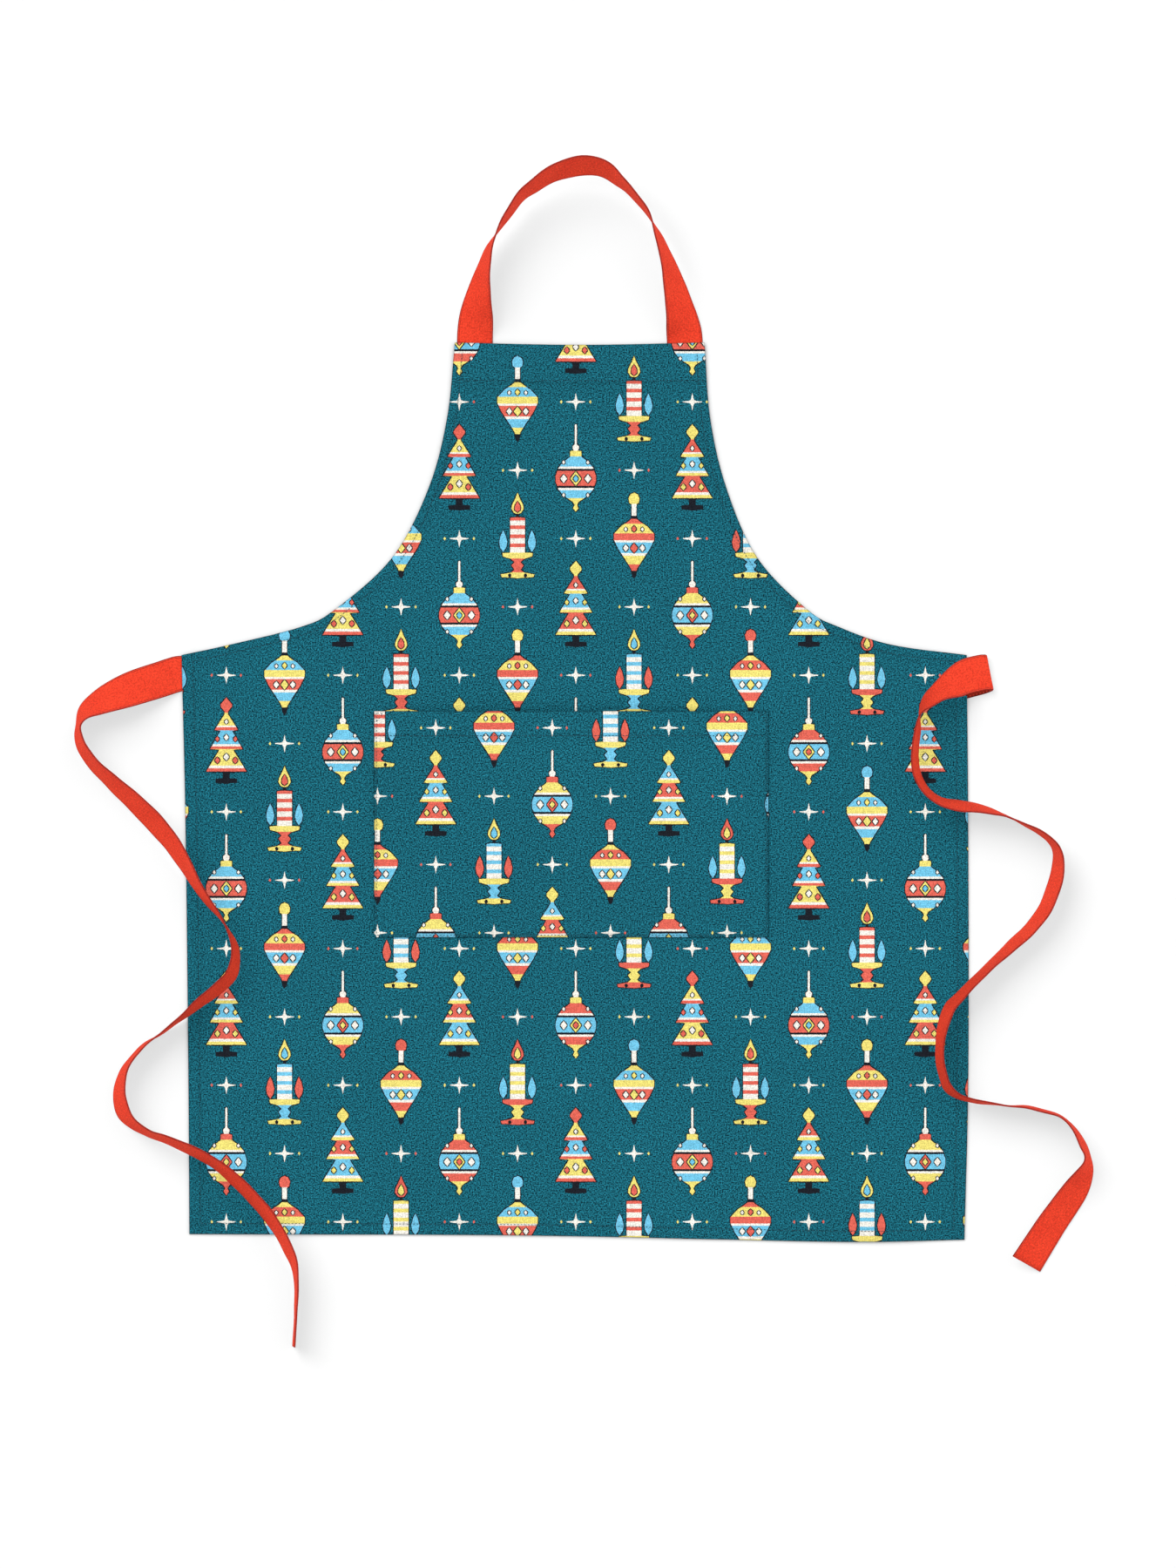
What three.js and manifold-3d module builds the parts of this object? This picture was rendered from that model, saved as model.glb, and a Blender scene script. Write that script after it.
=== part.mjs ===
// A bib apron lying flat with its front side up: a hemmed panel of canvas with one wide
// patch pocket, a neck strap and two waist ties of flat folded tape.
// Millimetres, +Z up. The origin is the middle of the waist line on the panel's back,
// +Y points to the neck and +X to the wearer's left.
import * as THREE from 'three';
import { mergeVertices } from 'three/addons/utils/BufferGeometryUtils.js';
import loadManifold from 'manifold-3d';

const wasm = await loadManifold();
wasm.setup();

// Panel: the waist line is at y = 0, the bib above it and the skirt below
const BIB_HEIGHT = 279;
const BIB_DIP = 2;
const SKIRT_LENGTH = 517;
const FIELD_THICKNESS = 1.0;
const HEM_THICKNESS = 2.6;
const HEM = { bibTop: 36, armhole: 9.5, side: 12, bottom: 11.6 };

// The panel's cut edge as the cloth lies, a little askew: its two armholes from the bib's
// corners down to the waist, its sides and its bottom
const EDGE_STEPS_PER_ROW = 2;
const ARMHOLES = table(['above', 'left', 'right'], [
  [BIB_HEIGHT, -108, 115],
  [211.6, -115, 120],
  [149, -131.5, 134.5],
  [87, -164, 162],
  [40.4, -215.5, 207],
  [24.9, -246.5, 235.5],
  [9.3, -309, 281.5],
  [0, -352, 349],
]);
const SIDES = table(['below', 'left', 'right'], [
  [0, -352, 349],
  [150, -348.5, 350.3],
  [365, -346, 350.5],
  [SKIRT_LENGTH, -345, 347],
]);
const BOTTOM = table(['x', 'sag'], [
  [-345, 0],
  [-60, 1],
  [120, 4.5],
  [250, 7],
  [347, 5],
]);

// Pocket: its mouth gapes in the middle, and the other three sides are sewn down
const POCKET = { width: 352, depth: 202, belowWaist: 50, centre: -4, gape: 8 };
const POCKET_WALL = 1.0;
const POCKET_HEM = { depth: 24, thickness: 1.8, step: 1 };
const POCKET_CELLS = { across: 14, down: 8 };

// Tape of the strap and the ties
const TAPE_WIDTH = 32;
const TAPE_THICKNESS = 1.4;
const STEPS_PER_ROW = 2;

// Room between pieces
const GAP = 0.3;
const FLOOR_GAP = 0.1;
const ON_PANEL = HEM_THICKNESS + 0.4;
const RECESS_HEIGHT = FLOOR_GAP + TAPE_THICKNESS + GAP;

// Hollows under the hems that take the sewn ends of the tapes
const RECESSES = table(['x', 'y', 'width', 'height'], [
  [-90.2, 263, 33, 37],
  [97.6, 263, 33, 37],
  [-347, -15, 15, 38],
  [345.2, -24.5, 14, 39],
]);

// Routes of the tapes. x and y follow the middle of the tape seen from above, and ground is
// the height of its lower edge. across is the direction, seen from above, from its
// lower edge to its upper edge, and lean the tilt of that line: 0 flat, 90 upright.
const ROUTE = ['x', 'y', 'ground', 'across', 'lean'];

const NECK_STRAP = table(ROUTE, [
  [-90.2, 245, 0, 0, 0],
  [-90.2, 281, 0, 0, 0],
  [-89.4, 296, 1.5, -3, 10],
  [-87.5, 318, 5, -8, 43],
  [-83, 342, 9, -13, 66],
  [-78, 361, 12, -20, 79],
  [-72, 374, 14, -28, 88],
  [-62, 390, 16, -33, 100],
  [-49, 409, 18, -40, 104],
  [-37, 418, 19, -52, 110],
  [-21, 429, 20, -63, 116],
  [-5, 434, 20.5, -76, 120],
  [8, 436.5, 20.5, -88, 122],
  [20, 435, 20, -104, 119],
  [30, 430.5, 19, -123, 114],
  [39, 422, 18, -135, 106],
  [47, 415, 17.5, -140, 101],
  [55, 406, 17, -140, 99],
  [62, 397, 16, -144, 96],
  [67, 389, 15, -150, 91],
  [73, 375, 13, -157, 80],
  [79, 360, 10.5, -160, 73],
  [86, 338, 7, -165, 58],
  [91, 317, 4, -168, 43],
  [95, 301, 2, -174, 28],
  [97.6, 281, 0, -178, 0],
  [97.6, 245, 0, -180, 0],
]);

const WAIST_TIE_LEFT = table(ROUTE, [
  [-341, -17, 0, -88, 0],
  [-352, -16, 0, -76, 0],
  [-359, -17.8, 0, -71, 0],
  [-370, -21.7, 6, -71, 0],
  [-390, -28, 12, -71, 8],
  [-409, -35, 12, -69, 27],
  [-427, -43, 7, -66, 48],
  [-439, -51, 3, -48, 65],
  [-444, -62, 1, -15, 82],
  [-444, -72, 0, 10, 76],
  [-440, -84, 0, 27, 73],
  [-430, -98, 0, 42, 70],
  [-414, -113, 0, 46, 66],
  [-396, -129, 0, 48, 59],
  [-374.5, -150.5, 0, 44, 57],
  [-360, -168, 1.5, 40, 60],
  [-350.5, -183, ON_PANEL, 29, 66],
  [-333, -214, ON_PANEL, 33, 77],
  [-319, -231, ON_PANEL, 31, 83],
  [-310, -245, ON_PANEL, 28, 90],
  [-304, -259, ON_PANEL, 15, 100],
  [-303, -272, ON_PANEL, -5, 103],
  [-307, -286, ON_PANEL, -30, 109],
  [-318, -297, ON_PANEL, -50, 110],
  [-334, -309, ON_PANEL, -53, 104],
  [-352, -324, ON_PANEL, -51, 97],
  [-370, -338, 0, -53, 92],
  [-386, -348, 0, -45, 85],
  [-397, -361, 0, -34, 83],
  [-404.5, -373, 0, -23, 76],
  [-407.6, -391, 0, -2, 70],
  [-404.5, -408, 0, 25, 64],
  [-395, -419, 0, 50, 73],
  [-381, -427, 0, 64, 79],
  [-368, -431, 2.2, 67, 76],
  [-342, -442, ON_PANEL, 65, 74],
  [-320, -454, ON_PANEL, 55, 72],
  [-296, -475, ON_PANEL, 45, 68],
  [-271, -503, ON_PANEL, 37, 70],
  [-255, -532, ON_PANEL, 28, 72],
  [-249, -551, 1, 10, 82],
  [-249.5, -584, 0, -3, 86],
  [-251.5, -617, 0, -5, 86],
]);

// The right tie rolls over beside the panel and comes back across its front
const WAIST_TIE_RIGHT = table(ROUTE, [
  [341, -24.6, 0, -88, 0],
  [350, -22.2, 0, -77, 0],
  [362, -19, 0, -76, 0],
  [367.5, -17, 1.2, -78, 0],
  [369.8, -15.6, 3.7, -79, 0],
  [367.5, -15.2, 6.2, -80, 0],
  [362, -15.6, 7.4, -81, 0],
  [347, -19, 7, -80, 8],
  [334.5, -27, 5, -57, 39],
  [324, -33, 3.6, -53, 59],
  [314, -41, ON_PANEL, -47, 67],
  [307, -51, ON_PANEL, -30, 88],
  [305, -66, ON_PANEL, -7, 100],
  [302, -90, ON_PANEL, -3, 103],
  [303, -101, ON_PANEL, 10, 103],
  [306, -111, ON_PANEL, 26, 102],
  [311, -120, ON_PANEL, 40, 102],
  [319, -127, ON_PANEL, 53, 102],
  [328, -132, ON_PANEL, 67, 103],
  [342, -134.6, ON_PANEL, 82, 108],
  [355, -136, ON_PANEL, 82, 106],
  [370, -139, 1, 75, 100],
  [382, -143, 0, 72, 91],
  [393, -147.5, 0, 66, 89.5],
  [402, -152, 0, 61, 87],
  [414, -158, 0, 56, 83],
  [423, -164.5, 0, 45, 82],
  [429, -173, 0, 30, 79],
  [431, -186, 0, 0, 73],
  [428, -203, 0, -15, 67],
  [419, -227, 0, -32, 70],
  [406, -244, 0, -44, 71],
  [387, -261, 0, -49, 74],
  [366, -280.5, 1.5, -45, 78],
  [356, -290.5, ON_PANEL, -44, 79],
  [340, -307, ON_PANEL, -42, 75],
  [333, -314.5, ON_PANEL, -30, 73],
  [327, -331, ON_PANEL, -12, 74],
  [323.5, -356, ON_PANEL, 1, 79],
  [328, -378, ON_PANEL, 23, 79],
  [332, -387, ON_PANEL, 40, 76],
  [341, -394, ON_PANEL, 60, 82],
  [351, -397, ON_PANEL, 77, 84],
  [363, -399, 1.2, 80, 84],
  [387, -402.5, 0, 87, 90],
  [403, -403, 0, 82, 94],
  [422, -408, 0, 72, 92],
  [434, -412, 0, 63, 92],
  [443.5, -421, 0, 45, 95],
  [453, -437.5, 0, 22, 102],
  [457, -448, 0, 15, 99],
  [455, -461, 0, -17, 120],
  [445, -479, 0, -32, 140],
  [425, -507, 0, -35, 147],
  [402, -543.5, 0, -30, 155],
]);

// Rows of numbers under named columns
function table(columns, rows) {
  return rows.map((row) => Object.fromEntries(columns.map((column, i) => [column, row[i]])));
}

// Closed surface with only its positions, its shared corners merged
function closedSurface(geometry) {
  const bare = geometry.clone();
  bare.deleteAttribute('normal');
  bare.deleteAttribute('uv');
  return mergeVertices(bare, 1e-5);
}

function toSolid(geometry) {
  const surface = closedSurface(geometry);
  return new wasm.Manifold(new wasm.Mesh({
    numProp: 3,
    vertProperties: Float32Array.from(surface.attributes.position.array),
    triVerts: Uint32Array.from(surface.index.array),
  }));
}

function toGeometry(solid) {
  const mesh = solid.getMesh();
  const geometry = new THREE.BufferGeometry();
  geometry.setAttribute('position', new THREE.BufferAttribute(mesh.vertProperties, 3));
  geometry.setIndex(new THREE.BufferAttribute(mesh.triVerts, 1));
  return geometry;
}

// Smooth run through a table's points
function smoothRun(points) {
  return new THREE.SplineCurve(points).getPoints((points.length - 1) * EDGE_STEPS_PER_ROW);
}

// The panel's cut edge, anticlockwise, as runs that each have their own hem
function panelEdges() {
  const stretch = {
    left: 1 + BOTTOM[0].sag / SKIRT_LENGTH,
    right: 1 + BOTTOM.at(-1).sag / SKIRT_LENGTH,
  };
  const armhole = (side) => smoothRun(ARMHOLES.map(
    (row) => new THREE.Vector2(row[side], row.above),
  ));
  const skirtSide = (side) => smoothRun(SIDES.map(
    (row) => new THREE.Vector2(row[side], -row.below * stretch[side]),
  ));
  const bibTop = smoothRun([
    new THREE.Vector2(ARMHOLES[0].right, BIB_HEIGHT),
    new THREE.Vector2((ARMHOLES[0].right + ARMHOLES[0].left) / 2, BIB_HEIGHT - BIB_DIP),
    new THREE.Vector2(ARMHOLES[0].left, BIB_HEIGHT),
  ]);
  const bottom = smoothRun(BOTTOM.map(
    ({ x, sag }) => new THREE.Vector2(x, -SKIRT_LENGTH - sag),
  ));
  return [
    { hem: HEM.bottom, points: bottom },
    { hem: HEM.side, points: skirtSide('right').reverse() },
    { hem: HEM.armhole, points: armhole('right').reverse() },
    { hem: HEM.armhole, points: bibTop },
    { hem: HEM.armhole, points: armhole('left') },
    { hem: HEM.side, points: skirtSide('left') },
  ];
}

// The cut edge moved inwards by each run's hem, with mitred corners
function hemLine(edges) {
  const lines = edges.flatMap(({ hem, points }) => points.slice(0, -1).map((point, i) => {
    const along = points[i + 1].clone().sub(point).normalize();
    const inwards = new THREE.Vector2(-along.y, along.x);
    return { start: point.clone().addScaledVector(inwards, hem), along };
  }));
  return lines.map((line, i) => {
    const before = lines.at(i - 1);
    const turn = before.along.cross(line.along);
    const between = line.start.clone().sub(before.start);
    const distance = Math.abs(turn) < 1e-6
      ? between.dot(before.along)
      : between.cross(line.along) / turn;
    return before.start.clone().addScaledVector(before.along, distance);
  });
}

function plate(points, bottom, top) {
  const geometry = new THREE.ExtrudeGeometry(new THREE.Shape(points), {
    depth: top - bottom,
    bevelEnabled: false,
  });
  return geometry.translate(0, 0, bottom);
}

function block(low, high) {
  const size = high.clone().sub(low);
  const middle = low.clone().add(high).multiplyScalar(0.5);
  return new THREE.BoxGeometry(size.x, size.y, size.z).translate(middle.x, middle.y, middle.z);
}

// Hemmed panel: a plate as thick as its hems, thinned inside them and hollowed for the tape ends
function panelGeometry() {
  const edges = panelEdges();
  const outline = edges.flatMap(({ points }) => points.slice(0, -1));
  const bibHemLine = BIB_HEIGHT - HEM.bibTop;
  const bibHem = block(
    new THREE.Vector3(2 * ARMHOLES[0].left, bibHemLine, 0),
    new THREE.Vector3(2 * ARMHOLES[0].right, BIB_HEIGHT, 2 * HEM_THICKNESS),
  );
  const field = toSolid(plate(hemLine(edges), FIELD_THICKNESS, 2 * HEM_THICKNESS));
  let panel = toSolid(plate(outline, 0, HEM_THICKNESS)).subtract(field.subtract(toSolid(bibHem)));
  for (const { x, y, width, height } of RECESSES) {
    const recess = block(
      new THREE.Vector3(x - width / 2, y - height / 2, -RECESS_HEIGHT),
      new THREE.Vector3(x + width / 2, y + height / 2, RECESS_HEIGHT),
    );
    panel = panel.subtract(toSolid(recess));
  }
  return toGeometry(panel);
}

// Patch pocket: a thin wall with a thicker hem at its mouth, arched up in the middle
function pocketGeometry() {
  const { across, down } = POCKET_CELLS;
  const hemEnd = POCKET_HEM.depth + POCKET_HEM.step;
  const wallRows = down - 2;
  const rows = [
    { below: 0, thickness: POCKET_HEM.thickness },
    { below: POCKET_HEM.depth, thickness: POCKET_HEM.thickness },
  ];
  for (let i = 0; i <= wallRows; i += 1) {
    const below = THREE.MathUtils.lerp(hemEnd, POCKET.depth, i / wallRows);
    rows.push({ below, thickness: POCKET_WALL });
  }
  const geometry = new THREE.BoxGeometry(1, 1, 1, across, down, 1);
  const corner = geometry.attributes.position;
  for (let i = 0; i < corner.count; i += 1) {
    const u = 2 * corner.getX(i);
    const { below, thickness } = rows[Math.round((0.5 - corner.getY(i)) * down)];
    const arch = POCKET.gape * (1 - u * u) * (1 - (below / POCKET.depth) ** 1.5);
    const outside = corner.getZ(i) > 0 ? thickness : 0;
    corner.setXYZ(
      i,
      POCKET.centre + (u * POCKET.width) / 2,
      -POCKET.belowWaist - below,
      FIELD_THICKNESS + GAP + arch + outside,
    );
  }
  return closedSurface(geometry);
}

// Place, direction across and direction through the tape at one step of its route
function tapeSections(route) {
  const middle = new THREE.CatmullRomCurve3(
    route.map(({ x, y }) => new THREE.Vector3(x, y, 0)),
  );
  const angles = new THREE.SplineCurve(
    route.map(({ across, lean }) => new THREE.Vector2(across, lean)),
  );
  const steps = (route.length - 1) * STEPS_PER_ROW;
  const sections = [];
  for (let step = 0; step <= steps; step += 1) {
    const row = Math.min(Math.floor(step / STEPS_PER_ROW), route.length - 2);
    const share = step / STEPS_PER_ROW - row;
    const turn = angles.getPoint(step / steps).multiplyScalar(THREE.MathUtils.DEG2RAD);
    const lean = Math.max(turn.y, 0);
    const flat = Math.cos(lean);
    const across = new THREE.Vector3(
      Math.cos(turn.x) * flat,
      Math.sin(turn.x) * flat,
      Math.sin(lean),
    );
    const foot = middle.getPoint(step / steps).addScaledVector(across, -TAPE_WIDTH / 2);
    const ground = THREE.MathUtils.lerp(route[row].ground, route[row + 1].ground, share);
    foot.z = FLOOR_GAP + ground + (TAPE_THICKNESS / 2) * Math.abs(flat);
    sections.push({ foot, across });
  }
  sections.forEach((section, step) => {
    const next = sections[Math.min(step + 1, steps)];
    const before = sections[Math.max(step - 1, 0)];
    const along = next.foot.clone().sub(before.foot);
    section.through = along.cross(section.across).normalize();
  });
  return sections;
}

// Flat tape swept along its route, standing on one edge where it bends
function tapeGeometry(route) {
  const sections = tapeSections(route);
  const steps = sections.length - 1;
  const geometry = new THREE.BoxGeometry(1, 1, 1, steps, 1, 1);
  const corner = geometry.attributes.position;
  for (let i = 0; i < corner.count; i += 1) {
    const { foot, across, through } = sections[Math.round((corner.getX(i) + 0.5) * steps)];
    const place = foot.clone()
      .addScaledVector(across, (corner.getY(i) + 0.5) * TAPE_WIDTH)
      .addScaledVector(through, corner.getZ(i) * TAPE_THICKNESS);
    corner.setXYZ(i, place.x, place.y, place.z);
  }
  return closedSurface(geometry);
}

function cloth(color) {
  return new THREE.MeshStandardMaterial({ color, roughness: 0.9, metalness: 0 });
}

function piece(name, geometry, material) {
  const mesh = new THREE.Mesh(geometry, material);
  mesh.name = name;
  return mesh;
}

const CANVAS_COLOUR = 0x196575;
const TAPE_COLOUR = 0xf04632;

const apron = new THREE.Group();
apron.add(
  piece('panel', panelGeometry(), cloth(CANVAS_COLOUR)),
  piece('pocket', pocketGeometry(), cloth(CANVAS_COLOUR)),
  piece('neck_strap', tapeGeometry(NECK_STRAP), cloth(TAPE_COLOUR)),
  piece('waist_tie_left', tapeGeometry(WAIST_TIE_LEFT), cloth(TAPE_COLOUR)),
  piece('waist_tie_right', tapeGeometry(WAIST_TIE_RIGHT), cloth(TAPE_COLOUR)),
);

export default apron;
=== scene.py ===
# A bib apron of printed canvas, lying flat with its front side up: a hemmed panel with one wide
# patch pocket, a neck strap and two waist ties of flat folded tape. Shapes are worked out in
# millimetres and become metres when they turn into objects.
import math
import random

import bmesh
import bpy
import numpy as np
from mathutils import Matrix, Vector


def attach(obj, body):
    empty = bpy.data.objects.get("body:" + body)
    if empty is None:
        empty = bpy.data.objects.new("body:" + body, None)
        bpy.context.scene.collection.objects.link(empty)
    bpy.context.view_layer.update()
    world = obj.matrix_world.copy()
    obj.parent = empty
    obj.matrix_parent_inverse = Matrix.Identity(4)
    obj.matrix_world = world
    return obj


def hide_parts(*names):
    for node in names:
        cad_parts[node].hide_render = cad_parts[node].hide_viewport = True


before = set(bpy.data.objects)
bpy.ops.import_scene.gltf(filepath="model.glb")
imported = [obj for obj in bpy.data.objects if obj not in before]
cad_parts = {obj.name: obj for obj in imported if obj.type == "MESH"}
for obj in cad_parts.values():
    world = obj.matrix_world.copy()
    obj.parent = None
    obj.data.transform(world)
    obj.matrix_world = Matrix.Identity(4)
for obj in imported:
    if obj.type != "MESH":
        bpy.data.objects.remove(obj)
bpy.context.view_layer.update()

MM = 0.001


def table(columns, rows):
    """Rows of values under named columns."""
    return [dict(zip(columns.split(), row)) for row in rows]


# Panel: the waist line is at y = 0, the bib above it and the skirt below
BIB_HEIGHT = 279
BIB_DIP = 2
SKIRT_LENGTH = 517
ARMHOLES = table("above left right", [
    (BIB_HEIGHT, -108, 115),
    (211.6, -115, 120),
    (149, -131.5, 134.5),
    (87, -164, 162),
    (40.4, -215.5, 207),
    (24.9, -246.5, 235.5),
    (9.3, -309, 281.5),
    (0, -352, 349),
])
SIDES = table("below left right", [
    (0, -352, 349),
    (150, -348.5, 350.3),
    (365, -346, 350.5),
    (SKIRT_LENGTH, -345, 347),
])
BOTTOM = table("x sag", [
    (-345, 0),
    (-60, 1),
    (120, 4.5),
    (250, 7),
    (347, 5),
])

# Cloth and its hems
CLOTH = 0.9
HEM_THICKNESS = 2.2
HEM_STEP = 2.6
HEMS = {"bib_top": 36, "armhole": 9.5, "side": 12, "bottom": 11.6}
FOLD_ROUNDING = 1.0
STITCH_INSET = 2.0
GROOVE = {"depth": 0.3, "width": 1.2}
# Shade painted on the cloth along its seam grooves and at its rounded turned edges
SHADE = {"seam": 0.16, "edge": 0.5, "edge_width": 1.2}

# Mesh of the cloth: rings along its cut edge, lines along its seams, and cells between them
EDGE_SNAP = 0.002
EDGE_STEPS = 12
EDGE_SPACING = 6
EDGE_RINGS = (0.12, 0.45, FOLD_ROUNDING)
SEAM_LINES = (3.4, STITCH_INSET, 0.6, -HEM_STEP)
CELL = 6
CELLS_ACROSS = (-342, 346)
CELLS_ALONG = (-513, 276)
CUT_MERGE = 0.12
CLOTH_WELD = 0.01

# Pocket: its mouth gapes in the middle, and the other three sides are sewn down. Marks are the
# distances of its mesh lines from the sewn sides and the mouth. The tack is sewn in each upper
# corner, given as steps inwards and downwards.
POCKET = {"width": 352, "depth": 202, "top": -50, "centre": -4}
POCKET_GAPE = {"height": 7, "power": 1.5}
POCKET_HEM = {"mouth": 24, "turned": 9, "thickness": 1.7, "edge_stitch": 2.0}
POCKET_GAP = 0.2
POCKET_CALM = 40
POCKET_CELL = 5
POCKET_MARKS = {
    "sewn": (*EDGE_RINGS, 2.0, 3.4, 6, 9, 11.6),
    "mouth": (*EDGE_RINGS, 4, 8, 13, 18, 20.6, 22, 23.4, 26.6),
}
POCKET_STITCH_TOP = 0.8
POCKET_TACK = [(0, 1), (6, 1.4), (0, 9)]

# Tape of the strap and the ties. Its rim gives half its thickness at places across it.
TAPE_WIDTH = 32
TAPE_THICKNESS = 1.4
TAPE_STEPS_PER_ROW = 8
TAPE_RIM = [
    (0, 0), (0.3, 0.46), (1.1, 0.7), (4, 0.72), (9, 0.62), (16, 0.6), (23, 0.62), (28, 0.7),
    (29.4, 0.72), (30.2, 0.62), (31.1, 0.7), (31.7, 0.46), (32, 0),
]
TAPE_STITCH = 30.2
TAPE_STITCH_HEIGHT = 0.55
TAPE_WELD = 0.001
FREE_END_SEAM = {"margin": 3, "points": 8}
ROUTE_EASE = 1 / 10
RIPPLES = table("height length slant phase", [
    (0.16, 7.1, 0.12, 0),
    (0.13, 4.3, -0.21, 1.3),
    (0.1, 12.7, 0.3, 2.1),
])
RIPPLE_CALM = 60

# Length of the right tie under its fold that gets the fold's painted shade, and the length it fades
# over
UNDER_FOLD = 31
FOLD_FADE = 6

# Room between pieces, and the height of the hollows under the hems for the tape ends
FLOOR_GAP = 0.1
ON_PANEL = 3.0
RECESS_HEIGHT = 1.75
RECESS_FALL = 9
RECESSES = table("x y width height", [
    (-90.2, 263, 33, 37),
    (97.6, 263, 33, 37),
    (-347, -15, 15, 38),
    (345.2, -24.5, 14, 39),
])

# Creases that the cloth keeps: ridges from one point to another, fading over a share of their length
CREASE_FADE = 0.3
CREASE = "x0 y0 x1 y1 height width"
PANEL_CREASES = table(CREASE, [
    (-94, 75, 131, 126, 1.3, 15),
    (-110, 5, -36, 9, 0.6, 9),
    (194, -201, 334, -240, 1.2, 14),
    (-300, -352, -150, -372, 0.8, 18),
    (60, -330, 220, -318, 0.7, 20),
    (-30, -455, 120, -440, 0.7, 18),
    (-70, 205, 60, 214, 0.5, 14),
])
POCKET_CREASES = table(CREASE, [
    (-16, -100, 176, -160, 1.5, 13),
    (5, -146, 63, -159, 0.7, 7),
    (60, -154, 110, -187, 0.8, 8),
    (-150, -120, -60, -104, 0.6, 14),
])
SWELLS = table("length angle phase height", [
    (265, 24, 0.4, 0.42),
    (190, 102, 1.9, 0.36),
    (143, -38, 3.1, 0.26),
    (97, 67, 5.2, 0.15),
    (71, 151, 0.9, 0.1),
])
SWELL_CALM = 70

# Routes of the tapes. x and y follow the middle of the tape seen from above, and ground is the
# height of its lower edge. across is the direction, seen from above, from its lower edge to its
# upper edge, and lean the tilt of that line: 0 flat, 90 upright.
ROUTE = "x y ground across lean"
NECK_STRAP = table(ROUTE, [
    (-90.2, 245, 0, 0, 0),
    (-90.2, 281, 0, 0, 0),
    (-89.4, 296, 1.5, -3, 10),
    (-87.5, 318, 5, -8, 43),
    (-83, 342, 9, -13, 66),
    (-78, 361, 12, -20, 79),
    (-72, 374, 14, -28, 88),
    (-62, 390, 16, -33, 100),
    (-49, 409, 18, -40, 104),
    (-37, 418, 19, -52, 110),
    (-21, 429, 20, -63, 116),
    (-5, 434, 20.5, -76, 120),
    (8, 436.5, 20.5, -88, 122),
    (20, 435, 20, -104, 119),
    (30, 430.5, 19, -123, 114),
    (39, 422, 18, -135, 106),
    (47, 415, 17.5, -140, 101),
    (55, 406, 17, -140, 99),
    (62, 397, 16, -144, 96),
    (67, 389, 15, -150, 91),
    (73, 375, 13, -157, 80),
    (79, 360, 10.5, -160, 73),
    (86, 338, 7, -165, 58),
    (91, 317, 4, -168, 43),
    (95, 301, 2, -174, 28),
    (97.6, 281, 0, -178, 0),
    (97.6, 245, 0, -180, 0),
])
WAIST_TIE_LEFT = table(ROUTE, [
    (-341, -17, 0, -88, 0),
    (-352, -16, 0, -76, 0),
    (-359, -17.8, 0, -71, 0),
    (-370, -21.7, 6, -71, 0),
    (-390, -28, 12, -71, 8),
    (-409, -35, 12, -69, 27),
    (-427, -43, 7, -66, 48),
    (-439, -51, 3, -48, 65),
    (-444, -62, 1, -15, 82),
    (-444, -72, 0, 10, 76),
    (-440, -84, 0, 27, 73),
    (-430, -98, 0, 42, 70),
    (-414, -113, 0, 46, 66),
    (-396, -129, 0, 48, 59),
    (-374.5, -150.5, 0, 44, 57),
    (-360, -168, 1.5, 40, 60),
    (-350.5, -183, ON_PANEL, 29, 66),
    (-333, -214, ON_PANEL, 33, 77),
    (-319, -231, ON_PANEL, 31, 83),
    (-310, -245, ON_PANEL, 28, 90),
    (-304, -259, ON_PANEL, 15, 100),
    (-303, -272, ON_PANEL, -5, 103),
    (-307, -286, ON_PANEL, -30, 109),
    (-318, -297, ON_PANEL, -50, 110),
    (-334, -309, ON_PANEL, -53, 104),
    (-352, -324, ON_PANEL, -51, 97),
    (-370, -338, 0, -53, 92),
    (-386, -348, 0, -45, 85),
    (-397, -361, 0, -34, 83),
    (-404.5, -373, 0, -23, 76),
    (-407.6, -391, 0, -2, 70),
    (-404.5, -408, 0, 25, 64),
    (-395, -419, 0, 50, 73),
    (-381, -427, 0, 64, 79),
    (-368, -431, 2.2, 67, 76),
    (-342, -442, ON_PANEL, 65, 74),
    (-320, -454, ON_PANEL, 55, 72),
    (-296, -475, ON_PANEL, 45, 68),
    (-271, -503, ON_PANEL, 37, 70),
    (-255, -532, ON_PANEL, 28, 72),
    (-249, -551, 1, 10, 82),
    (-249.5, -584, 0, -3, 86),
    (-251.5, -617, 0, -5, 86),
])
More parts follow.
